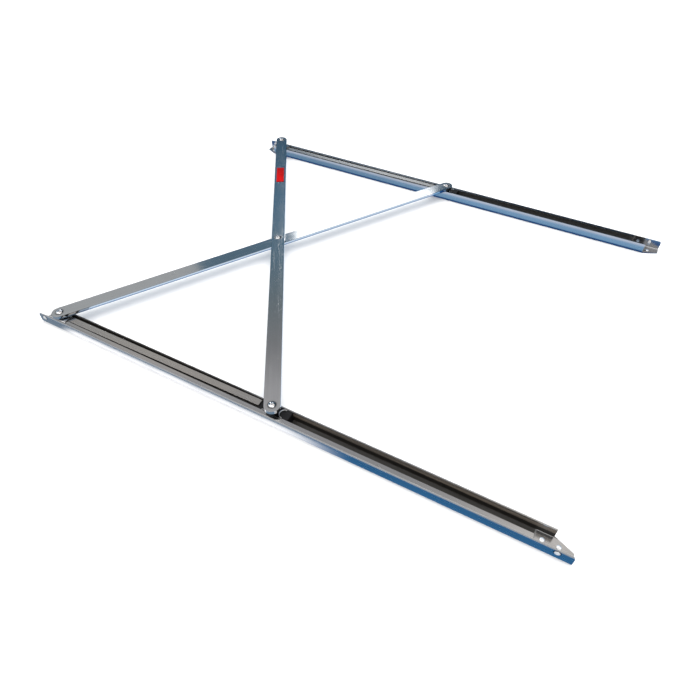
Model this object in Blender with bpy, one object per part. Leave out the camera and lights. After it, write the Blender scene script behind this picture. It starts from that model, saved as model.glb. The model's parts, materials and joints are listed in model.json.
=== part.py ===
"""Parallel scissor stay: two folded stainless rails joined by a pair of crossed flat arms.

Each arm turns on a fixed pivot near the left end of one rail and is carried by a sliding
shoe in the other rail, so the rails stay parallel while they close on each other.
Units are metres, +Z is up, the rails run along X and the stay lies open on its floors.
"""
import math

import bmesh
import bpy
from mathutils import Matrix, Vector

# Rails: one folded sheet each, floor down, with a lip over the outer side of the track
RAIL_LENGTH = 0.735      # front rail
REAR_EXTRA = 0.010       # the rear rail is this much longer, at its free end
RAIL_WIDTH = 0.022
RAIL_HEIGHT = 0.016
SHEET = 0.0015
SHEET_BEND = 0.0016      # radius of the sheet's middle line at a fold
LIP_WIDTH = 0.0065
WALL_INSET = 0.022       # rail end to the end of the inner wall
LIP_INSET = 0.042        # free rail end to the end of the lip
LIP_INSET_PIVOT = 0.050  # pivot rail end to the start of the lip
NOSE_WIDTH = 0.0125      # width of the floor at the rail's very end
CORNER_RADIUS = 0.0040   # top corners of the outer wall
SCREW_HOLE = 0.0050
SCREW_INSETS_FREE = (0.0150, 0.0320)
SCREW_INSETS_PIVOT = (0.0110,)
SCREW_OFFSET = 0.0010    # screw holes, off the rail's middle line towards the inside

# Linkage, in the open position
PIVOT_INSET = 0.032      # rail end to the fixed pivot
OPEN_SPREAD = 0.562      # between the pivot axes of the two rails
OPEN_REACH = 0.350       # fixed pivot to slider rivet along a rail

# Arms and the rivets that they turn on
ARM_WIDTH = 0.0200
ARM_THICKNESS = 0.0045
ARM_OVERHANG = 0.0105    # pivot to the arm's rounded end
SHANK_RADIUS = 0.0030
HEAD_RADIUS = 0.0046
HEAD_HEIGHT = 0.0018
TAIL_HEIGHT = 0.0008
WASHER_HEIGHT = 0.0010
WASHER_RADIUS = 0.0060
CROSS_WASHER_RADIUS = 0.0110

# Slider, stop strip and pivot saddle inside each rail
SHOE_BACK = 0.0200       # rivet to the shoe's end that meets the stop strip
SHOE_FRONT = 0.0220      # rivet to the shoe's other end
SHOE_CHAMFER = 0.0012
PLATE_HALF = 0.0140
PLATE_NOTCH = 0.0056
STRIP_WIDTH = 0.0085
STRIP_THICKNESS = 0.0012
STRIP_OFFSET = 0.0017    # strip's middle line at the pivot, off the rail's towards the inside
STRIP_DRIFT = 0.0014     # how much further inside it lies at the shoe
STRIP_RISE = 0.0020
STRIP_TAIL = 0.0075      # strip behind the pivot axis
SADDLE_BACK = 0.0140
SADDLE_SLANT = 0.0085
BUSH_RADIUS = 0.0055

# End rivets through the outer walls, and the marker on the upper arm
END_RIVET_INSET = 0.0165        # from the free end of the rail
END_RIVET_INSET_PIVOT = 0.0105  # from the pivot end
END_RIVET_LEVEL = 0.0112
END_RIVET_HEAD = 0.0032
END_RIVET_HEAD_HEIGHT = 0.0012
END_RIVET_SHANK = 0.0020
END_RIVET_TAIL = 0.0028
MARKER_LENGTH = 0.0490
MARKER_WIDTH = 0.0130
MARKER_THICKNESS = 0.0003
MARKER_PLACE = 0.1380    # rear pivot to the marker's middle

GAP = 0.0003             # left between pieces that touch
CUT = 0.0010             # how far a cutter runs past what it cuts
ROUND_STEPS = 32
BEND_STEPS = 4
AXIS_MARK = 0.03         # drawn size of the empties on the joint axes

PIVOT_END = -(RAIL_LENGTH + REAR_EXTRA) / 2
PIVOT_X = PIVOT_END + PIVOT_INSET
SLIDER_X = PIVOT_X + OPEN_REACH
ARM_SPAN = math.hypot(OPEN_REACH, OPEN_SPREAD)
ARM_ANGLE = math.atan2(OPEN_SPREAD, OPEN_REACH)
FRONT, REAR = -1, 1      # side of the stay; the outer wall faces this way along Y

# Heights of the stack over the rails
SADDLE_TOP = RAIL_HEIGHT
WASHER_BASE = RAIL_HEIGHT + GAP
LOWER_ARM_BASE = WASHER_BASE + WASHER_HEIGHT + GAP
LOWER_ARM_TOP = LOWER_ARM_BASE + ARM_THICKNESS
UPPER_ARM_BASE = LOWER_ARM_TOP + GAP + WASHER_HEIGHT + GAP
UPPER_ARM_TOP = UPPER_ARM_BASE + ARM_THICKNESS
HOLE_RADIUS = SHANK_RADIUS + GAP


def clear_scene():
    for old in list(bpy.data.objects):
        bpy.data.objects.remove(old, do_unlink=True)


def finish(name, colour, metallic, roughness):
    """One Principled material for one piece."""
    material = bpy.data.materials.new(name + "_finish")
    material.use_nodes = True
    shader = material.node_tree.nodes["Principled BSDF"]
    shader.inputs["Base Color"].default_value = (*colour, 1.0)
    shader.inputs["Metallic"].default_value = metallic
    shader.inputs["Roughness"].default_value = roughness
    return material


def steel(name, roughness=0.3):
    return finish(name, (0.62, 0.61, 0.60), 1.0, roughness)


def nylon(name):
    return finish(name, (0.012, 0.012, 0.013), 0.0, 0.45)


def add_piece(name, bm, material, place=(0, 0, 0), turn=0.0):
    """Close a bmesh into a named object at its place, turned about Z."""
    bmesh.ops.remove_doubles(bm, verts=bm.verts, dist=1e-7)
    bmesh.ops.recalc_face_normals(bm, faces=bm.faces)
    mesh = bpy.data.meshes.new(name)
    bm.to_mesh(mesh)
    bm.free()
    mesh.shade_smooth()
    mesh.set_sharp_from_angle(angle=math.radians(35))
    mesh.materials.append(material)
    piece = bpy.data.objects.new(name, mesh)
    piece.location = place
    piece.rotation_euler = (0, 0, turn)
    bpy.context.scene.collection.objects.link(piece)
    return piece


def prism(outline, low, high, to_point):
    """Extrude a closed outline between two levels; to_point makes (u, v, level) a 3D point."""
    bm = bmesh.new()
    face = bm.faces.new([bm.verts.new(to_point(u, v, low)) for u, v in outline])
    grown = bmesh.ops.extrude_face_region(bm, geom=[face])
    shift = Vector(to_point(0, 0, high)) - Vector(to_point(0, 0, low))
    moved = [item for item in grown["geom"] if isinstance(item, bmesh.types.BMVert)]
    bmesh.ops.translate(bm, verts=moved, vec=shift)
    return bm


def standing(u, v, level):
    """Outline in plan, extruded upwards."""
    return (u, v, level)


def lengthwise(u, v, level):
    """Outline across the rail, extruded along it."""
    return (level, u, v)


def crosswise(u, v, level):
    """Outline seen from the rail's side, extruded across it."""
    return (u, level, v)


def turned(profile, steps=ROUND_STEPS):
    """Spin a closed profile of (radius, height) points about Z."""
    bm = bmesh.new()
    points = [bm.verts.new((radius, 0, height)) for radius, height in profile]
    pairs = zip(points, points[1:] + points[:1])
    edges = [bm.edges.new(pair) for pair in pairs if pair[0].co.x + pair[1].co.x > 0]
    bmesh.ops.spin(bm, geom=edges, cent=(0, 0, 0), axis=(0, 0, 1),
                   angle=math.tau, steps=steps, use_merge=True)
    return bm


def cylinder(radius, low, high, steps=ROUND_STEPS):
    return turned([(0, low), (radius, low), (radius, high), (0, high)], steps)


def ring(inner, outer, low, high):
    return turned([(inner, low), (outer, low), (outer, high), (inner, high)])


def box(low, high):
    corners = [(low[0], low[1]), (high[0], low[1]), (high[0], high[1]), (low[0], high[1])]
    return prism(corners, low[2], high[2], standing)


def cut(piece, name, bm, place=(0, 0, 0), turn=0.0):
    """Take a cutter's shape out of a piece; the cutter stays as a wire guide."""
    cutter = add_piece(piece.name + "_" + name, bm, piece.data.materials[0], place, turn)
    cutter.hide_render = True
    cutter.display_type = "WIRE"
    boolean = piece.modifiers.new(name, "BOOLEAN")
    boolean.operation = "DIFFERENCE"
    boolean.solver = "EXACT"
    boolean.object = cutter


def rounded_path(corners, radius):
    """Open path through the corners, with an arc at each inner corner."""
    path = [Vector(corners[0])]
    for before, corner, after in zip(corners, corners[1:], corners[2:]):
        corner = Vector(corner)
        back = (Vector(before) - corner).normalized()
        ahead = (Vector(after) - corner).normalized()
        half = back.angle(ahead) / 2
        centre = corner + (back + ahead).normalized() * radius / math.sin(half)
        start = corner + back * radius / math.tan(half) - centre
        sweep = start.angle_signed(corner + ahead * radius / math.tan(half) - centre)
        for step in range(BEND_STEPS + 1):
            path.append(centre + Matrix.Rotation(-sweep * step / BEND_STEPS, 2) @ start)
    path.append(Vector(corners[-1]))
    return path


def sheet_outline(corners, thickness, radius):
    """Closed outline of a folded sheet whose middle line runs through the corners."""
    path = rounded_path(corners, radius)
    sides = ([], [])
    for index, point in enumerate(path):
        before = path[max(index - 1, 0)]
        after = path[min(index + 1, len(path) - 1)]
        along = (after - before).normalized()
        normal = Vector((-along.y, along.x))
        sides[0].append(point + normal * thickness / 2)
        sides[1].append(point - normal * thickness / 2)
    return sides[0] + sides[1][::-1]


def bar_outline(span, width, overhang):
    """Plan of a flat arm along X with rounded ends past its two pivots."""
    drop = width / 2
    reach = overhang - drop
    outline = []
    for centre, start in ((span + reach, -math.pi / 2), (-reach, math.pi / 2)):
        for step in range(ROUND_STEPS // 2 + 1):
            angle = start + math.pi * step / (ROUND_STEPS // 2)
            outline.append((centre + drop * math.cos(angle), drop * math.sin(angle)))
    return outline


def dome(radius, base, height):
    """Profile points of a rivet head's crown, from the rim to the axis."""
    bulge = (radius ** 2 + height ** 2) / (2 * height)
    sweep = math.asin(radius / bulge)
    points = []
    for step in range(5):
        angle = sweep * (1 - step / 4)
        points.append((bulge * math.sin(angle), base + height - bulge * (1 - math.cos(angle))))
    return points


def rivet(foot, base, tail_radius=0.0, tail_height=0.0):
    """Domed rivet from its foot up to the head's underside; a tail is the upset lower end."""
    profile = [(0, foot)]
    if tail_radius:
        profile += [(tail_radius, foot), (tail_radius, foot + tail_height)]
        profile += [(SHANK_RADIUS, foot + tail_height)]
    else:
        profile += [(SHANK_RADIUS, foot)]
    profile += [(SHANK_RADIUS, base)]
    profile += dome(HEAD_RADIUS, base, HEAD_HEIGHT)
    return turned(profile)


def side_name(side):
    return "front" if side == FRONT else "rear"


def rail_line(side):
    """Y of the rail's pivot axis."""
    return side * OPEN_SPREAD / 2


def rail_end(side, end):
    """X of a rail's pivot end (end -1) or free end (end 1)."""
    free_end = PIVOT_END + RAIL_LENGTH + (REAR_EXTRA if side == REAR else 0)
    return free_end if end == 1 else PIVOT_END


def make_rail(side):
    """Floor, inner wall, outer wall and lip folded from one strip, cut away to a nose at each end."""
    name = side_name(side) + "_rail"
    line = rail_line(side)
    wall = RAIL_WIDTH / 2 - SHEET / 2
    corners = [
        (side * (RAIL_WIDTH / 2 - LIP_WIDTH), RAIL_HEIGHT - SHEET / 2),
        (side * wall, RAIL_HEIGHT - SHEET / 2),
        (side * wall, SHEET / 2),
        (-side * wall, SHEET / 2),
        (-side * wall, RAIL_HEIGHT),
    ]
    outline = sheet_outline(corners, SHEET, SHEET_BEND)
    bm = prism(outline, rail_end(side, -1), rail_end(side, 1), lengthwise)
    rail = add_piece(name, bm, steel(name, 0.28), (0, line, 0))
    cut_rail_end(rail, side, 1, LIP_INSET, SCREW_INSETS_FREE)
    cut_rail_end(rail, side, -1, LIP_INSET_PIVOT, SCREW_INSETS_PIVOT)
    bore = cylinder(HOLE_RADIUS, -CUT, SHEET + CUT)
    cut(rail, "pivot_hole", bore, (PIVOT_X, line, 0))
    return rail


def cut_rail_end(rail, side, end, lip_inset, screw_insets):
    """Open one end of a rail (end is its direction along X) down to the tapered nose."""
    tag = "free" if end == 1 else "pivot"
    line = rail_line(side)
    tip = rail_end(side, end)
    past = tip + end * CUT
    lip_end = tip - end * lip_inset
    inside = side * (RAIL_WIDTH / 2 - SHEET)
    lip_box = box((min(lip_end, past), min(0, inside), RAIL_HEIGHT - SHEET - SHEET_BEND),
                  (max(lip_end, past), max(0, inside), RAIL_HEIGHT + CUT))
    cut(rail, tag + "_lip_cut", lip_box, (0, line, 0))
    wall_end = tip - end * WALL_INSET
    wall_in = -side * (RAIL_WIDTH / 2 - SHEET - SHEET_BEND)
    wall_out = -side * (RAIL_WIDTH / 2 + CUT)
    wall_box = box((min(wall_end, past), min(wall_in, wall_out), SHEET),
                   (max(wall_end, past), max(wall_in, wall_out), RAIL_HEIGHT + CUT))
    cut(rail, tag + "_wall_cut", wall_box, (0, line, 0))
    nose = side * (RAIL_WIDTH / 2 - NOSE_WIDTH)
    taper = [(wall_end, -side * RAIL_WIDTH / 2), (tip, nose),
             (past, nose), (past, wall_out), (wall_end, wall_out)]
    cut(rail, tag + "_taper", prism(taper, -CUT, RAIL_HEIGHT, standing), (0, line, 0))
    for number, inset in enumerate(screw_insets):
        bore = cylinder(SCREW_HOLE / 2, -CUT, SHEET + CUT)
        place = (tip - end * inset, line - side * SCREW_OFFSET, 0)
        cut(rail, tag + "_screw_hole_%d" % number, bore, place)
    corner = [(past, RAIL_HEIGHT + CUT), (past, RAIL_HEIGHT - CORNER_RADIUS)]
    for step in range(BEND_STEPS + 1):
        angle = math.pi / 2 * step / BEND_STEPS
        corner.append((tip - end * CORNER_RADIUS * (1 - math.cos(angle)),
                       RAIL_HEIGHT - CORNER_RADIUS * (1 - math.sin(angle))))
    corner.append((tip - end * CORNER_RADIUS, RAIL_HEIGHT + CUT))
    wall = sorted((side * (RAIL_WIDTH / 2 - SHEET - CUT), side * (RAIL_WIDTH / 2 + CUT)))
    cut(rail, tag + "_corner", prism(corner, *wall, crosswise), (0, line, 0))
    bore = cylinder(END_RIVET_SHANK + GAP, -SHEET - CUT, CUT + SHEET)
    bmesh.ops.rotate(bore, verts=bore.verts, matrix=Matrix.Rotation(math.pi / 2, 3, "X"))
    cut(rail, tag + "_rivet_hole", bore, end_rivet_place(side, end))


def end_rivet_place(side, end):
    """Middle of the outer wall's sheet where the end rivet goes through."""
    inset = END_RIVET_INSET if end == 1 else END_RIVET_INSET_PIVOT
    across = rail_line(side) + side * (RAIL_WIDTH - SHEET) / 2
    return (rail_end(side, end) - end * inset, across, END_RIVET_LEVEL)


def make_end_rivet(side, end):
    """Small rivet whose tail stands in the track and keeps the shoe from leaving it."""
    name = side_name(side) + ("_free" if end == 1 else "_pivot") + "_end_rivet"
    base = SHEET / 2 + GAP
    profile = [(0, -base - END_RIVET_TAIL), (END_RIVET_SHANK, -base - END_RIVET_TAIL)]
    profile += [(END_RIVET_SHANK, base)]
    profile += dome(END_RIVET_HEAD, base, END_RIVET_HEAD_HEIGHT)
    bm = turned(profile, ROUND_STEPS // 2)
    turn = Matrix.Rotation(-side * math.pi / 2, 3, "X")
    bmesh.ops.rotate(bm, verts=bm.verts, matrix=turn)
    return add_piece(name, bm, steel(name, 0.22), end_rivet_place(side, end))


def make_saddle(side):
    """Bridge of folded sheet between the walls that carries the fixed pivot."""
    name = side_name(side) + "_pivot_saddle"
    leg = RAIL_WIDTH / 2 - SHEET - GAP - SHEET / 2
    foot = SHEET + SHEET_BEND
    corners = [(-leg, foot), (-leg, SADDLE_TOP - SHEET / 2),
               (leg, SADDLE_TOP - SHEET / 2), (leg, foot)]
    front = LIP_INSET_PIVOT - PIVOT_INSET - GAP
    outline = sheet_outline(corners, SHEET, SHEET_BEND)
    bm = prism(outline, -SADDLE_BACK, front, lengthwise)
    saddle = add_piece(name, bm, steel(name), (PIVOT_X, rail_line(side), 0))
    inner = -side * (RAIL_WIDTH / 2 + CUT)
    outer = side * RAIL_WIDTH / 2
    slant = [(front, outer), (front + CUT, outer), (front + CUT, inner), (front - SADDLE_SLANT, inner)]
    cut(saddle, "slant", prism(slant, 0, RAIL_HEIGHT + CUT, standing), saddle.location)
    bore = cylinder(HOLE_RADIUS, RAIL_HEIGHT / 2, RAIL_HEIGHT + CUT)
    cut(saddle, "pivot_hole", bore, saddle.location)
    return saddle


def make_bush(side):
    """Bush on the pivot rivet that carries the stop strip and the saddle from the floor."""
    name = side_name(side) + "_pivot_bush"
    top = RAIL_HEIGHT - SHEET - GAP - STRIP_THICKNESS - GAP
    bm = ring(HOLE_RADIUS, BUSH_RADIUS, SHEET + GAP, top)
    return add_piece(name, bm, steel(name), (PIVOT_X, rail_line(side), 0))


def make_strip(side):
    """Flat bar from under the saddle to the shoe: it stops the slider in the open position."""
    name = side_name(side) + "_stop_strip"
    root = RAIL_HEIGHT - SHEET - GAP - STRIP_THICKNESS / 2
    start = LIP_INSET_PIVOT - PIVOT_INSET
    end = OPEN_REACH - SHOE_BACK - GAP
    corners = [(-STRIP_TAIL, root), (start, root), (end, root + STRIP_RISE)]
    outline = sheet_outline(corners, STRIP_THICKNESS, SHEET_BEND)
    middle = -side * STRIP_OFFSET
    bm = prism(outline, middle - STRIP_WIDTH / 2, middle + STRIP_WIDTH / 2, crosswise)
    for vertex in bm.verts:
        vertex.co.y -= side * STRIP_DRIFT * max(0, vertex.co.x - start) / (end - start)
    strip = add_piece(name, bm, steel(name, 0.35), (PIVOT_X, rail_line(side), 0))
    bore = cylinder(HOLE_RADIUS, RAIL_HEIGHT / 2, RAIL_HEIGHT + CUT)
    cut(strip, "pivot_hole", bore, strip.location)
    return strip


def make_shoe(side):
    """Black nylon block held in the track by the lip, with a pocket for the slider plate."""
    name = side_name(side) + "_slider_shoe"
    half = RAIL_WIDTH / 2 - SHEET - GAP
    low = SHEET + GAP
    shoulder = RAIL_HEIGHT - SHEET - GAP
    neck = RAIL_HEIGHT - GAP
    mouth = RAIL_WIDTH / 2 - LIP_WIDTH - GAP
    profile = [(side * (half - SHOE_CHAMFER), low), (side * half, low + SHOE_CHAMFER),
               (side * half, shoulder), (side * mouth, shoulder), (side * mouth, neck),
               (-side * half, neck), (-side * half, low + SHOE_CHAMFER),
               (-side * (half - SHOE_CHAMFER), low)]
    bm = prism(profile, -SHOE_BACK, SHOE_FRONT, lengthwise)
    shoe = add_piece(name, bm, nylon(name), (SLIDER_X, rail_line(side), 0))
    pocket = box((-PLATE_HALF - GAP, -RAIL_WIDTH, shoulder),
                 (PLATE_HALF + GAP, RAIL_WIDTH, RAIL_HEIGHT + CUT))
    cut(shoe, "plate_pocket", pocket, shoe.location)
    strip_end = box((-SHOE_BACK - CUT, -RAIL_WIDTH, shoulder),
                    (-PLATE_HALF, RAIL_WIDTH, RAIL_HEIGHT + CUT))
    cut(shoe, "back_step", strip_end, shoe.location)
    cut(shoe, "rivet_hole", cylinder(HOLE_RADIUS, 0, RAIL_HEIGHT), shoe.location)
    well = cylinder(HEAD_RADIUS + GAP, 0, low + TAIL_HEIGHT + 2 * GAP)
    cut(shoe, "tail_well", well, shoe.location)
    return shoe


def make_slider_plate(side):
    """Blackened steel plate let into the shoe under the arm, with a round notch in each end."""
    name = side_name(side) + "_slider_plate"
    mouth = RAIL_WIDTH / 2 - LIP_WIDTH - GAP
    inner = RAIL_WIDTH / 2 - SHEET - GAP
    middle = -side * (inner - mouth) / 2
    half = (inner + mouth) / 2
    outline = [(-PLATE_HALF, middle - half), (PLATE_HALF, middle - half),
               (PLATE_HALF, middle + half), (-PLATE_HALF, middle + half)]
    bm = prism(outline, RAIL_HEIGHT - SHEET, RAIL_HEIGHT, standing)
    oxide = finish(name, (0.030, 0.030, 0.034), 1.0, 0.34)
    plate = add_piece(name, bm, oxide, (SLIDER_X, rail_line(side), 0))
    bore = cylinder(HOLE_RADIUS, 0, RAIL_HEIGHT + CUT)
    cut(plate, "rivet_hole", bore, plate.location)
    for tag, end in (("front_notch", 1), ("back_notch", -1)):
        notch = cylinder(PLATE_NOTCH, 0, RAIL_HEIGHT + CUT)
        cut(plate, tag, notch, plate.location + Vector((end * PLATE_HALF, middle, 0)))
    return plate


def make_arm(name, base, start, turn):
    """Flat bar with rounded ends and three rivet holes."""
    outline = bar_outline(ARM_SPAN, ARM_WIDTH, ARM_OVERHANG)
    bm = prism(outline, base, base + ARM_THICKNESS, standing)
    arm = add_piece(name, bm, steel(name, 0.26), (*start, 0), turn)
    for number, share in enumerate((0.0, 0.5, 1.0)):
        along = Vector((math.cos(turn), math.sin(turn))) * ARM_SPAN * share
        place = (start[0] + along.x, start[1] + along.y, 0)
        bore = cylinder(HOLE_RADIUS, base - CUT, base + ARM_THICKNESS + CUT)
        cut(arm, "hole_%d" % number, bore, place)
    return arm


def make_joint(name, place, foot, base, spacer_top, tail=False, spacer_finish=steel):
    """Rivet with the washer or spacer under the arm that turns on it."""
    bm = rivet(foot, base, HEAD_RADIUS if tail else 0.0, TAIL_HEIGHT)
    add_piece(name + "_rivet", bm, steel(name, 0.2), (*place, 0))
    kind = "_washer" if spacer_top - WASHER_BASE <= WASHER_HEIGHT + GAP else "_spacer"
    bm = ring(HOLE_RADIUS, WASHER_RADIUS, WASHER_BASE, spacer_top)
    add_piece(name + kind, bm, spacer_finish(name + kind), (*place, 0))


def make_cross_joint(place):
    """Rivet and wide washer where the two arms cross."""
    foot = LOWER_ARM_BASE - GAP - TAIL_HEIGHT
    bm = rivet(foot, UPPER_ARM_TOP + GAP, HEAD_RADIUS, TAIL_HEIGHT)
    add_piece("cross_rivet", bm, steel("cross_rivet", 0.2), (*place, 0))
    bm = ring(HOLE_RADIUS, CROSS_WASHER_RADIUS, LOWER_ARM_TOP + GAP, UPPER_ARM_BASE - GAP)
    add_piece("cross_washer", bm, steel("cross_washer"), (*place, 0))


def hang(axis_name, place, names):
    """Hang the pieces of one moving body from an empty that stands on its joint axis."""
    axis = bpy.data.objects.new(axis_name, None)
    axis.location = (*place, 0)
    axis.empty_display_size = AXIS_MARK
    bpy.context.scene.collection.objects.link(axis)
    for name in names:
        piece = bpy.data.objects[name]
        piece.parent = axis
        piece.matrix_parent_inverse = Matrix.Translation(axis.location).inverted()


def make_marker():
    """Plain red patch on top of the upper arm, near the rear rail."""
    low = UPPER_ARM_TOP + GAP
    half = MARKER_WIDTH / 2
    bm = box((-MARKER_LENGTH / 2, -half, low), (MARKER_LENGTH / 2, half, low + MARKER_THICKNESS))
    along = Vector((math.cos(ARM_ANGLE), -math.sin(ARM_ANGLE))) * MARKER_PLACE
    place = (PIVOT_X + along.x, rail_line(REAR) + along.y, 0)
    add_piece("marker_patch", bm, finish("marker_patch", (0.7, 0.01, 0.01), 0.0, 0.4),
              place, -ARM_ANGLE)


clear_scene()
for side in (FRONT, REAR):
    make_rail(side)
    make_saddle(side)
    make_bush(side)
    make_strip(side)
    make_shoe(side)
    make_slider_plate(side)
    make_end_rivet(side, 1)
    make_end_rivet(side, -1)

front_pivot = (PIVOT_X, rail_line(FRONT))
rear_pivot = (PIVOT_X, rail_line(REAR))
front_slide = (SLIDER_X, rail_line(FRONT))
rear_slide = (SLIDER_X, rail_line(REAR))
crossing = (PIVOT_X + OPEN_REACH / 2, 0)
make_arm("lower_arm", LOWER_ARM_BASE, front_pivot, ARM_ANGLE)
make_arm("upper_arm", UPPER_ARM_BASE, rear_pivot, -ARM_ANGLE)

shoe_foot = SHEET + 2 * GAP
lower_head = LOWER_ARM_TOP + GAP
upper_head = UPPER_ARM_TOP + GAP
washer_top = LOWER_ARM_BASE - GAP
spacer_top = UPPER_ARM_BASE - GAP
make_joint("front_pivot", front_pivot, GAP, lower_head, washer_top)
make_joint("rear_pivot", rear_pivot, GAP, upper_head, spacer_top)
make_joint("front_slider", front_slide, shoe_foot, upper_head, spacer_top, True, nylon)
make_joint("rear_slider", rear_slide, shoe_foot, lower_head, washer_top, True)
make_cross_joint(crossing)
make_marker()

hang("lower_arm_axis", front_pivot, ("lower_arm", "cross_rivet", "cross_washer"))
hang("upper_arm_axis", crossing, ("upper_arm", "marker_patch"))
hang("rear_rail_axis", rear_pivot, (
    "rear_rail", "rear_pivot_saddle", "rear_pivot_bush", "rear_pivot_rivet",
    "rear_pivot_spacer", "rear_stop_strip", "rear_free_end_rivet", "rear_pivot_end_rivet"))
hang("front_slider_axis", front_slide, (
    "front_slider_shoe", "front_slider_plate", "front_slider_rivet", "front_slider_spacer"))
hang("rear_slider_axis", rear_slide, (
    "rear_slider_shoe", "rear_slider_plate", "rear_slider_rivet", "rear_slider_washer"))
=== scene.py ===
"""Parallel scissor stay in folded stainless steel, standing open on a pale studio floor."""

import json
import math

import bpy
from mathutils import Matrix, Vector

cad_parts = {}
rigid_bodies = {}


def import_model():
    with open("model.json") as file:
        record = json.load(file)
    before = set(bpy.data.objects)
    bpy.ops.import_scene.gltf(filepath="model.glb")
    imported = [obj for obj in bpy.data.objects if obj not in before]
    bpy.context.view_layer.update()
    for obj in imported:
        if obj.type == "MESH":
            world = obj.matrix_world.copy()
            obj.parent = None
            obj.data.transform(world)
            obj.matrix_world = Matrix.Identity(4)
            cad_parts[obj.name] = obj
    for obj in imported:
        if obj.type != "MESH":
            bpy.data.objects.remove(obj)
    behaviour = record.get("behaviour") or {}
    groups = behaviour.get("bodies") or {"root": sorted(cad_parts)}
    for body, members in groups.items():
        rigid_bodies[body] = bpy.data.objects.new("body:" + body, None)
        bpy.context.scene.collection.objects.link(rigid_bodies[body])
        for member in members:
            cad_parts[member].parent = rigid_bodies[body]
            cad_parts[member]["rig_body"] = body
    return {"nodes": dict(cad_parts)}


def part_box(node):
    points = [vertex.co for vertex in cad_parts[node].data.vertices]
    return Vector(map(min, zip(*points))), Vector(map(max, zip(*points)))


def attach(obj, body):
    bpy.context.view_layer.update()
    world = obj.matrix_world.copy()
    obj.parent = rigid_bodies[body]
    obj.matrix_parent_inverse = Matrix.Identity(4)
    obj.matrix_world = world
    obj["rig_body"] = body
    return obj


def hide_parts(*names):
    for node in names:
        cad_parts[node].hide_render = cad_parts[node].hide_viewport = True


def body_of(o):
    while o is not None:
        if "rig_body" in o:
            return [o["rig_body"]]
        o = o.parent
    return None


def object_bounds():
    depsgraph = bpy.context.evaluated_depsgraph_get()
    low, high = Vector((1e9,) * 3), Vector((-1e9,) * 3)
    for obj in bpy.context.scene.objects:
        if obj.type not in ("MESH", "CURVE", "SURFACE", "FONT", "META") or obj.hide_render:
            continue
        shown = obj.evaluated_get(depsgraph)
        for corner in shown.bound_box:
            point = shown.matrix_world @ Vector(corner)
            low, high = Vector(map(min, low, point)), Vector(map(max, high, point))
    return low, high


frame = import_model()
cad_low, cad_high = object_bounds()
bpy.ops.object.select_all(action="DESELECT")


# ---- Studio: a plain pale floor, soft lights and what the bare steel reflects ----
# Polished steel shows its surroundings, so the floor and the room carry soft blue and pale
# fields that only reflections see; a broad key lights the floor, and a window the arms.
class Value:
    """A socket of a node tree, with arithmetic that adds the Math nodes."""

    def __init__(self, sheet, socket):
        self.sheet = sheet
        self.socket = socket

    def math(self, operation, *terms):
        return self.sheet.node("Math", {"operation": operation}, dict(enumerate(terms)))

    def __add__(self, other):
        return self.math("ADD", self, other)

    def __sub__(self, other):
        return self.math("SUBTRACT", self, other)

    def __rsub__(self, other):
        return self.math("SUBTRACT", other, self)

    def __mul__(self, other):
        return self.math("MULTIPLY", self, other)

    def __pow__(self, other):
        return self.math("POWER", self, other)

    def __abs__(self):
        return self.math("ABSOLUTE", self)

    __radd__ = __add__
    __rmul__ = __mul__

    def step(self, low, high):
        """0 below low and 1 above high, smooth between; falls instead where low is the larger."""
        first, last = sorted((low, high))
        settings = {"interpolation_type": "SMOOTHSTEP"}
        rise = self.sheet.node("MapRange", settings, {0: self, 1: first, 2: last})
        return 1 - rise if low > high else rise

    def between(self, low, high, soft):
        """1 from low to high, with soft edges outside them."""
        return self.step(low - soft, low) * self.step(high + soft, high)


class Sheet:
    """A node tree being drawn up: a finish, the floor or the room."""

    def __init__(self, tree):
        self.tree = tree

    def node(self, kind, settings=None, links=None, out=0):
        """Add a node, set it, join its inputs, and give back one of its outputs."""
        made = self.tree.nodes.new("ShaderNode" + kind)
        for name, value in (settings or {}).items():
            if name == "stops":
                self.lay_stops(made.color_ramp.elements, value)
            else:
                setattr(made, name, value)
        for socket, value in (links or {}).items():
            self.join(value, made.inputs[socket])
        return Value(self, made.outputs[out])

    def lay_stops(self, ramp, stops):
        """Set a new ramp's stops, each a place and a colour."""
        while len(ramp) < len(stops):
            ramp.new(0.5)
        for stop, (place, colour) in zip(ramp, stops):
            stop.position = place
            stop.color = (*colour, 1)

    def join(self, value, socket):
        """Link a value into a socket, or set the socket to a plain number or colour."""
        if isinstance(value, Value):
            self.tree.links.new(value.socket, socket)
        elif isinstance(value, tuple) and socket.type == "RGBA":
            socket.default_value = (*value, 1)
        else:
            socket.default_value = value

    def mix(self, share, first, second):
        """Colour between first and second."""
        settings = {"data_type": "RGBA", "clamp_factor": True}
        return self.node("Mix", settings, {0: share, 6: first, 7: second}, out=2)

    def axes(self, vector):
        """The three parts of a vector."""
        split = self.node("SeparateXYZ", links={"Vector": vector}).socket.node
        return [Value(self, socket) for socket in split.outputs]

    def noise(self, vector, scale, detail=2.0, rough=0.5):
        links = {"Vector": vector, "Scale": scale, "Detail": detail, "Roughness": rough}
        return self.node("TexNoise", links=links)


black, grey = (0.0, 0.0, 0.0), (0.5, 0.5, 0.5)

floor_side, floor_drop = 60, 0.0001            # the floor lies a hair below the rails
bpy.ops.mesh.primitive_plane_add(size=floor_side, location=(0, 0, cad_low.z - floor_drop))
floor = bpy.context.object
floor.name = "floor"
floor_paint = bpy.data.materials.new("floor_paint")
floor_paint.use_nodes = True
sheet = Sheet(floor_paint.node_tree)
paint = floor_paint.node_tree.nodes["Principled BSDF"]
paint.inputs["Roughness"].default_value = 0.9
paint.inputs["Specular IOR Level"].default_value = 0.1
paint.inputs["Emission Strength"].default_value = 2.0
floor_x, floor_y, _ = sheet.axes(sheet.node("TexCoord", out="Object"))

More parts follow.
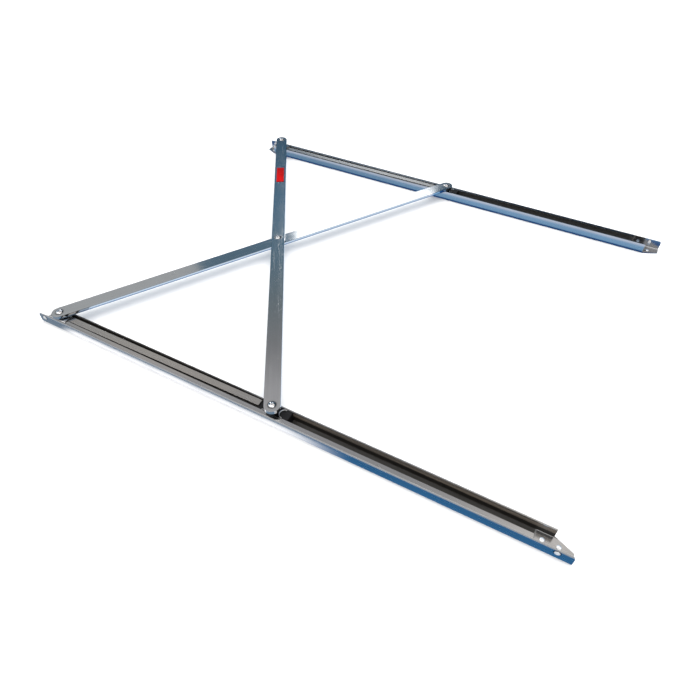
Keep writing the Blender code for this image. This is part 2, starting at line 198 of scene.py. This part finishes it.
# the field in front of the front rail, seen in its outer wall
front_foot = -0.292
front_white, edge_blue = (0.98, 0.99, 1.02), (0.13, 0.19, 0.26)
deep_blue, tip_blue = (0.028, 0.118, 0.26), (0.15, 0.20, 0.26)
front_edge = floor_y.step(front_foot - 0.0055, front_foot - 0.0075)
front_field = sheet.mix(front_edge, front_white, edge_blue)
front_field = sheet.mix(floor_x.step(0.01, 0.12), front_field, deep_blue)
front_field = sheet.mix(floor_x.step(-0.31, -0.345), front_field, tip_blue)

# the field in front of the rear rail, seen in its inner wall
rear_foot = 0.270
left_blue, far_blue = (0.13, 0.24, 0.37), (0.17, 0.32, 0.50)
lavender, foot_shadow_blue = (0.50, 0.55, 0.66), (0.006, 0.050, 0.17)
rear_field = sheet.mix(floor_x.step(-0.25, 0.10), left_blue, far_blue)
rear_field = sheet.mix(floor_y.step(rear_foot - 0.015, rear_foot - 0.021), rear_field, lavender)
# painted shadow: a dark blue band along the rear rail's foot, seen in its inner wall
rear_field = sheet.mix(floor_y.step(rear_foot - 0.0052, rear_foot - 0.0036), rear_field, foot_shadow_blue)

open_floor = (0.44, 0.53, 0.64)
backdrop = sheet.mix(floor_y.between(0.244, 0.275, 0.004), open_floor, rear_field)
backdrop = sheet.mix(floor_y.between(-0.325, -0.288, 0.01), backdrop, front_field)

# far from the stay the floor glows, so that it meets the room with no horizon
pale_paint = (0.94, 0.94, 0.945)
far_off = ((floor_x ** 2 + floor_y ** 2) ** 0.5).step(1.2, 3.5)
lit_paint = sheet.mix(far_off, pale_paint, black)
far_glow = sheet.mix(far_off, black, grey)
in_steel = sheet.node("LightPath", out="Is Glossy Ray")
sheet.join(sheet.mix(in_steel, lit_paint, black), paint.inputs["Base Color"])
sheet.join(sheet.mix(in_steel, far_glow, backdrop), paint.inputs["Emission Color"])
floor.data.materials.append(floor_paint)

# the room: one climb of colours beyond the stay, another on the camera's side
room = bpy.data.worlds.new("room")
room.use_nodes = True
bpy.context.scene.world = room
sheet = Sheet(room.node_tree)
wall = room.node_tree.nodes["Background"]
aside, ahead, height = sheet.axes(sheet.node("TexCoord", out="Generated"))
climb = [(0.0, (0.16, 0.22, 0.30)), (0.40, (0.045, 0.10, 0.165)), (0.47, (0.09, 0.19, 0.29)),
         (0.53, (0.11, 0.225, 0.35)), (0.60, (0.13, 0.225, 0.31)), (0.66, (0.19, 0.24, 0.27)),
         (0.72, (0.29, 0.295, 0.31)), (0.79, (0.58, 0.58, 0.60)), (0.87, (0.52, 0.52, 0.53)),
         (1.0, (0.45, 0.45, 0.46))]
navy, window_pale = (0.030, 0.055, 0.085), (1.15, 1.10, 1.04)
front_room = sheet.node("ValToRGB", {"stops": climb}, {0: height})
right_low = aside.step(-0.30, -0.20) * height.step(0.72, 0.58)
front_room = sheet.mix(right_low, front_room, navy)
right_high = aside.step(-0.12, 0.16) * height.step(0.74, 0.86)
front_room = sheet.mix(right_high, front_room, window_pale)
behind = [(0.0, (0.42, 0.42, 0.42)), (0.45, (0.85, 0.86, 0.88)), (0.70, (0.95, 0.95, 0.96)),
          (0.88, (0.80, 0.80, 0.80)), (1.0, (0.30, 0.30, 0.30))]
back_room = sheet.node("ValToRGB", {"stops": behind}, {0: height})
reflected = sheet.mix(ahead.step(0.05, -0.35), front_room, back_room)
seen_directly = sheet.node("LightPath", out="Is Camera Ray")
sheet.join(sheet.mix(seen_directly, reflected, (1.0, 1.0, 1.0)), wall.inputs["Color"])


def panel(name, azimuth, elevation, distance, width, tall, watts, colour=(1.0, 1.0, 1.0)):
    """Soft light panel facing the stay; azimuth is from +Y towards +X, in degrees."""
    turn, rise = math.radians(azimuth), math.radians(elevation)
    away = Vector((math.sin(turn) * math.cos(rise), math.cos(turn) * math.cos(rise), math.sin(rise)))
    lamp = bpy.data.lights.new(name, "AREA")
    lamp.shape = "RECTANGLE"
    lamp.size = width
    lamp.size_y = tall
    lamp.energy = watts
    lamp.color = colour
    holder = bpy.data.objects.new(name, lamp)
    holder.location = away * distance
    holder.rotation_euler = away.to_track_quat("Z", "Y").to_euler()
    bpy.context.scene.collection.objects.link(holder)
    return holder


panel("window_bank", -26.4, 35.5, 5.0, 1.43, 1.15, 13.0)
panel("warm_wall", -64, 40, 5.0, 1.9, 1.9, 4.6, (1.0, 0.84, 0.68))
panel("side_card", -98, 8, 5.0, 2.4, 2.2, 14, (0.95, 0.98, 1.0))
sparkles = [panel("left_lamp", -54, 18, 4.0, 0.42, 0.42, 9),
            panel("right_lamp", 72, 50, 4.0, 0.42, 0.42, 9),
            panel("strip_light", 180, 71, 4.0, 9.0, 1.60, 80)]
for light in sparkles:                         # seen only as glints in the steel
    light.visible_diffuse = False
key = panel("soft_key", 20, 82, 5.0, 9.0, 9.0, 500, (1.0, 0.995, 0.985))
key.visible_glossy = False

eye = bpy.data.cameras.new("eye")
eye.lens = 27.86
eye.sensor_width = 36.0
eye.clip_start = 0.01
eye.clip_end = 100.0
camera = bpy.data.objects.new("camera", eye)
camera.location = (0.2688, -0.5764, 0.5308)
camera.rotation_euler = (math.radians(43.04), 0, math.radians(27.96))
bpy.context.scene.collection.objects.link(camera)
bpy.context.scene.camera = camera
bpy.context.scene.view_settings.view_transform = "Standard"


# ---- Rails: two tracks folded from stainless strip, mirrored front to rear ----
# Mill finish with fine lines along the fold and handling marks; the cut edges are tumbled.
# Old grease and painted shade darken the track floor between the lip's ends, and the inner wall beside
# it.
class Finish(Sheet):
    """A Principled finish; what varies over the piece is joined to its sockets."""

    def __init__(self, name, **fixed):
        self.material = bpy.data.materials.new(name)
        self.material.use_nodes = True
        super().__init__(self.material.node_tree)
        self.shader = self.tree.nodes["Principled BSDF"]
        self.set(**fixed)
        self.place = self.node("TexCoord", out="Object")

    def placed(self, centre=(0, 0, 0), turn=0.0, scale=(1, 1, 1)):
        """Place on the piece, moved to centre, turned about Z and stretched."""
        unturned = {"Vector": self.place, "Location": tuple(-c for c in centre)}
        moved = self.node("Mapping", links=unturned)
        turned = self.node("Mapping", links={"Vector": moved, "Rotation": (0, 0, -turn)})
        return self.node("Mapping", links={"Vector": turned, "Scale": scale})

    def set(self, **sockets):
        """Join values to the shader's sockets, named with _ for each space."""
        for socket, value in sockets.items():
            self.join(value, self.shader.inputs[socket.replace("_", " ")])

    def bump(self, height, depth):
        """Stand the surface out by height times depth, in metres."""
        self.set(Normal=self.node("Bump", links={"Height": height, "Distance": depth, "Strength": 1.0}))

    def scaled(self, colour, share):
        """Colour made lighter or darker."""
        return self.node("VectorMath", {"operation": "SCALE"}, {0: colour, "Scale": share})


def lengthwise_steel(name, turn=0.0, tone=(0.60, 0.60, 0.60), dull=0.15, grain=1.0):
    """Stainless rolled or brushed along its length, with smears, fine scratches and stains."""
    steel = Finish(name, Metallic=1.0)
    line_pitch, streak_pitch = (14, 1500, 1500), (5, 190, 190)
    scratch_pitch, nick_pitch = (18, 900, 900), (40, 700, 700)
    scratch_slant, nick_slant = 0.06, -0.5
    lines = steel.noise(steel.placed(turn=turn, scale=line_pitch), 1.0, 4.0, 0.6)
    streaks = steel.noise(steel.placed(turn=turn, scale=streak_pitch), 1.0, 3.0, 0.6)
    smears = steel.noise(steel.place, 22.0, 3.0, 0.6)
    specks = steel.noise(steel.place, 420.0).step(0.70, 0.76)
    scratched = steel.placed(turn=turn + scratch_slant, scale=scratch_pitch)
    scratch = steel.noise(scratched, 1.0, 1.0).step(0.66, 0.72)
    nicked = steel.placed(turn=turn + nick_slant, scale=nick_pitch)
    nick = steel.noise(nicked, 1.0, 1.0).step(0.72, 0.76)
    light = 0.84 + lines * (0.18 * grain) + streaks * (0.12 * grain) - specks * 0.10
    smeared_tone = tuple(c * 0.80 for c in tone)
    worn = steel.mix(smears.step(0.35, 0.75) * 0.35, tone, smeared_tone)
    steel.shade = steel.scaled(worn, light)
    steel.rough = (dull + (streaks - 0.5) * 0.07 + (smears - 0.5) * 0.10
                   + scratch * 0.10 + nick * 0.14 + specks * 0.08)
    steel.set(Base_Color=steel.shade, Roughness=steel.rough)
    relief = 0.000007 * grain
    steel.bump(lines * 0.6 + streaks * 0.4 - scratch * 0.8 - nick * 0.8, relief)
    return steel


def worked(name, finish, edge, steps=2):
    """Finished copy of a rough solid: its flat faces cleared, its sharp edges broken."""
    rough = frame["nodes"][name]
    mesh = rough.data.copy()
    piece = bpy.data.objects.new("finished_" + name, mesh)
    bpy.context.scene.collection.objects.link(piece)
    bpy.context.view_layer.objects.active = piece
    piece.select_set(True)
    mesh.materials.clear()
    mesh.materials.append(finish.material)
    same_point, flat, smooth, sharp = 0.000002, 0.4, 32, 35
    bpy.ops.object.mode_set(mode="EDIT")
    bpy.ops.mesh.select_all(action="SELECT")
    bpy.ops.mesh.remove_doubles(threshold=same_point)
    bpy.ops.mesh.dissolve_limited(angle_limit=math.radians(flat))
    bpy.ops.object.mode_set(mode="OBJECT")
    bpy.ops.object.shade_smooth_by_angle(angle=math.radians(smooth))
    rounding = piece.modifiers.new("broken_edges", "BEVEL")
    rounding.width = edge
    rounding.segments = steps
    rounding.limit_method = "ANGLE"
    rounding.angle_limit = math.radians(sharp)
    rounding.harden_normals = True
    bpy.ops.object.modifier_apply(modifier="broken_edges")
    piece.select_set(False)
    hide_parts(name)
    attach(piece, body_of(rough)[0])
    return piece


rail_middle = 0.281
pivot_end, free_end = -0.3725, 0.3625
rear_extra = 0.010                             # the rear rail is this much longer
lip_start, front_lip_end = -0.3225, 0.3205
front_wall_end = 0.3405
end_rivet_height = 0.0112
rail_tone, rail_edge = (0.50, 0.50, 0.505), 0.00022
grease_shade_black, reflected_brown = (0.014, 0.012, 0.009), (0.25, 0.185, 0.12)
painted_edge_black, rivet_shade_black = (0.05, 0.05, 0.05), (0.03, 0.03, 0.035)

for side, extra in (("front", 0), ("rear", rear_extra)):
    rail_steel = lengthwise_steel(side + "_rail_steel", tone=rail_tone, dull=0.20, grain=0.6)
    rail_x, rail_y, rail_z = rail_steel.axes(rail_steel.place)
    ragged = rail_x + (rail_steel.noise(rail_steel.place, 160.0) - 0.5) * 0.006
    across = abs(rail_y) - rail_middle          # from the track's middle, outwards

    # grease and painted shade on the track's floor and up its inner wall
    in_track = rail_z.between(0.0012, 0.0147, 0.0003)
    floor_run = ragged.between(lip_start - 0.006, front_lip_end + extra, 0.004)
    floor_grease_and_shade = across.between(-0.0092, 0.0094, 0.0003) * in_track * floor_run
    wall_face = across.step(-0.0088, -0.0093) * across.step(-0.0100, -0.0097)
    wall_run = ragged.between(lip_start - 0.02, front_wall_end + 0.008, 0.002)
    wall_grease_and_shade = wall_face * in_track * wall_run

    # painted reflection: the wall's upper half is painted brown in streaks where the shoe runs, over
    # the painted shade below
    patches = rail_steel.noise(rail_steel.placed(scale=(16, 120, 120)), 1.0, 3.0, 0.6)
    reflection_streaks = rail_steel.noise(rail_steel.placed(scale=(9, 900, 900)), 1.0, 2.0, 0.6)
    upper_band = rail_z.step(0.0070, 0.0100) * rail_x.step(-0.03, 0.04)
    brown_reflection = upper_band * (0.08 + reflection_streaks.step(0.34, 0.64))
    wall_painted_light = rail_steel.mix(brown_reflection, grease_shade_black, reflected_brown)
    greased_and_shaded = rail_steel.mix(wall_grease_and_shade, grease_shade_black, wall_painted_light)
    grease_and_shade = floor_grease_and_shade * (0.86 + patches * 0.14) + wall_grease_and_shade * (0.98 - upper_band * 0.20)

    # painted shade: the pivot half of the inner wall's top edge is darkened, and a dark ring is painted
    # round each end rivet
    top_edge = rail_z.step(0.0153, 0.0156) * rail_x.step(0.0, -0.06)
    edge_painted_shade = across.step(-0.0092, -0.0096) * top_edge
    shade = rail_steel.mix(edge_painted_shade * 0.75, rail_steel.shade, painted_edge_black)
    for rivet_x in (free_end + extra - 0.0165, pivot_end + 0.0105):
        radius = ((rail_x - rivet_x) ** 2 + (rail_z - end_rivet_height) ** 2) ** 0.5
        rivet_shade_ring = radius.between(0.0026, 0.0038, 0.0005) * across.step(0.0106, 0.0109)
        shade = rail_steel.mix(rivet_shade_ring * 0.85, shade, rivet_shade_black)

    rail_steel.set(Base_Color=rail_steel.mix(grease_and_shade, shade, greased_and_shaded),
                   Roughness=rail_steel.rough + grease_and_shade * 0.25,
                   Metallic=1 - grease_and_shade * 0.95,
                   Specular_IOR_Level=0.2)
    worked(side + "_rail", rail_steel, rail_edge)


# ---- Pivot saddles, bushes and stop strips ----
# Folded stainless saddles carry the fixed pivots, each on a turned bush; a flat stainless
# strip lies in the track between the pivot and the shoe, its sawn sides painted near-black as painted
# shade.
sheet_steel = lengthwise_steel("sheet_steel", tone=(0.56, 0.555, 0.55), dull=0.20)
satin_steel = lengthwise_steel("satin_steel", tone=(0.46, 0.44, 0.42), dull=0.26, grain=1.3)
_, _, facing_up = satin_steel.axes(satin_steel.node("NewGeometry", out="Normal"))
upright_side = abs(facing_up).step(0.80, 0.45)
painted_side_shade = (0.008, 0.007, 0.006)
broken_edge, strip_edge = 0.0002, 0.00015
# painted shade: the strip's upright sides are painted near-black
satin_steel.set(Base_Color=satin_steel.mix(upright_side, satin_steel.shade, painted_side_shade))
for side in ("front", "rear"):
    worked(side + "_pivot_saddle", sheet_steel, broken_edge)
    worked(side + "_pivot_bush", sheet_steel, broken_edge)
    worked(side + "_stop_strip", satin_steel, strip_edge)


# ---- Shoes: the blocks that slide in the tracks ----
# Moulded black nylon with a fine mould grain and faint scuffs along the rail; the front
# shoe stands the upper arm off on a nylon spacer.
nylon = Finish("black_nylon", Metallic=0.0, Specular_IOR_Level=0.25)
mould = nylon.noise(nylon.place, 900.0, 3.0, 0.6)
scuff = nylon.noise(nylon.placed(scale=(30, 500, 500)), 1.0).step(0.60, 0.72)
nylon_black, scuffed_black = (0.006, 0.006, 0.007), (0.020, 0.020, 0.022)
shoe_edge, mould_depth = 0.0004, 0.00003
nylon.set(Base_Color=nylon.mix(scuff * 0.5, nylon_black, scuffed_black),
          Roughness=0.50 + mould * 0.15 - scuff * 0.12)
nylon.bump(mould, mould_depth)
for side in ("front", "rear"):
    worked(side + "_slider_shoe", nylon, shoe_edge)
worked("front_slider_spacer", nylon, broken_edge)


# ---- Slider plates ----
# A blackened steel plate let into each shoe under the arm, punched with a round notch at
# each end; a painted highlight lines each notch's rim.
slider_x, notch_reach, notch_y = 0.0095, 0.0140, 0.2785
oxide_black, painted_rim_highlight = (0.030, 0.030, 0.034), (0.80, 0.79, 0.78)
oxide = lengthwise_steel("black_oxide", tone=oxide_black, dull=0.34)
plate_x, plate_y, _ = oxide.axes(oxide.place)
from_rivet = abs(plate_x - slider_x)
from_notch = ((from_rivet - notch_reach) ** 2 + (abs(plate_y) - notch_y) ** 2) ** 0.5
# painted highlight round each notch's rim
rim_highlight = from_notch.between(0.0050, 0.0064, 0.0003)
oxide.set(Base_Color=oxide.mix(rim_highlight, oxide.shade, painted_rim_highlight))
for side in ("front", "rear"):
    worked(side + "_slider_plate", oxide, broken_edge)


# ---- Arms: two flat stainless bars, crossed and riveted at their middles ----
# Rounded at both ends and brushed along their length, burnished near the long edges by
# handling and painted lighter there as a sheen; each rivet sits in a ring of grime and painted shade
# inside a faint swirl from the turning joint. A painted blue reflection lines each bar's lower side
# edge, and a painted dark reflection its upper side edge.
open_spread, arm_reach = 0.562, 0.350
arm_angle = math.atan2(open_spread, arm_reach)
arm_span = math.hypot(open_spread, arm_reach)
pivot_x = -0.3405
arm_edge, arm_edge_steps = 0.0005, 3
burnished_sheen, swirled, grime_and_shade_brown = (0.74, 0.74, 0.74), (0.50, 0.50, 0.50), (0.045, 0.040, 0.034)
painted_reflection_blue, painted_dark_reflection_grey = (0.12, 0.21, 0.33), (0.16, 0.17, 0.19)


def arm_finish(name, start, turn, foot):
    """Brushed bar from the pivot at start, lying along turn, with its underside at foot."""
    steel = lengthwise_steel(name, turn=turn, tone=(0.62, 0.62, 0.62), dull=0.105, grain=0.6)
    along, across, level = steel.axes(steel.placed(centre=(*start, 0), turn=turn))
    # burnish and painted sheen: lighter towards the long edges
    burnish_and_sheen = abs(across).step(0.0070, 0.0098)
    rounded_side = abs(across).step(0.0094, 0.0097)
    # painted reflection: the lower part of each side edge is painted blue
    lower_edge_reflection = rounded_side * level.step(foot + 0.0020, foot + 0.0012)
    # painted dark reflection: a darker line along the upper part of each side edge
    upper_edge_reflection = rounded_side * level.step(foot + 0.0036, foot + 0.0041)
    from_rivet = abs(abs(along - arm_span / 2) - arm_span / 4) - arm_span / 4
    radius = (from_rivet * from_rivet + across * across) ** 0.5
    ragged = radius + (steel.noise(steel.place, 700.0) - 0.5) * 0.0010
    # grime and painted shade: a dark, rougher ring at each rivet head's rim
    grime_and_shade = ragged.between(0.0040, 0.0053, 0.0007)
    swirl = ragged.step(0.0088, 0.0062) * 0.5
    # burnish and painted sheen near the long edges
    shade = steel.mix(burnish_and_sheen * 0.25, steel.shade, burnished_sheen)
    shade = steel.mix(swirl * 0.4, shade, swirled)
    # grime and painted shade round each rivet head
    shade = steel.mix(grime_and_shade * 0.80, shade, grime_and_shade_brown)
    # painted blue reflection on the lower side edge
    shade = steel.mix(lower_edge_reflection * 0.85, shade, painted_reflection_blue)
    # painted dark reflection on the upper side edge
    shade = steel.mix(upper_edge_reflection * 0.70, shade, painted_dark_reflection_grey)
    steel.set(Base_Color=shade,
              Roughness=steel.rough + grime_and_shade * 0.25 + swirl * 0.10 - burnish_and_sheen * 0.03)
    return steel


for name, outward, turn in (("lower_arm", -1, arm_angle), ("upper_arm", 1, -arm_angle)):
    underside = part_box(name)[0][2]
    steel = arm_finish(name + "_steel", (pivot_x, outward * rail_middle), turn, underside)
    worked(name, steel, arm_edge, arm_edge_steps)


# ---- Rivets, washers and the spacer ----
# Bright stainless rivets hold the arms, over stainless washers and a spacer; the small end
# rivets are aluminium, with heads peened by hand.
bright = lengthwise_steel("rivet_steel", tone=(0.74, 0.74, 0.75), dull=0.13)
aluminium = Finish("aluminium", Metallic=0.25)
peening = aluminium.noise(aluminium.place, 900.0)
peened_grey, peened_white = (0.60, 0.60, 0.61), (0.80, 0.80, 0.80)
peening_depth = 0.00002
aluminium.set(Base_Color=aluminium.mix(peening.step(0.3, 0.7), peened_grey, peened_white),
              Roughness=0.30 + peening * 0.15)
aluminium.bump(peening, peening_depth)
for name in sorted(frame["nodes"]):
    if name.endswith("end_rivet"):
        worked(name, aluminium, broken_edge)
    elif name.endswith(("rivet", "washer")) or name == "rear_pivot_spacer":
        worked(name, bright, broken_edge)


# ---- Marker ----
# A plain patch of red self-adhesive film on the upper arm, its weave running along the bar
# and its colour rubbed unevenly.
film = Finish("red_film", Specular_IOR_Level=0.06)
weave = film.noise(film.placed(turn=-arm_angle, scale=(160, 420, 420)), 1.0)
wear = film.noise(film.place, 90.0, 3.0).step(0.35, 0.65)
dull_red, strong_red = (0.27, 0.0, 0.0), (0.46, 0.0005, 0.0005)
film_edge, weave_depth = 0.00008, 0.00004
film.set(Base_Color=film.mix(wear, dull_red, strong_red),
         Roughness=0.34 + weave * 0.2)
film.bump(weave, weave_depth)
worked("marker_patch", film, film_edge)
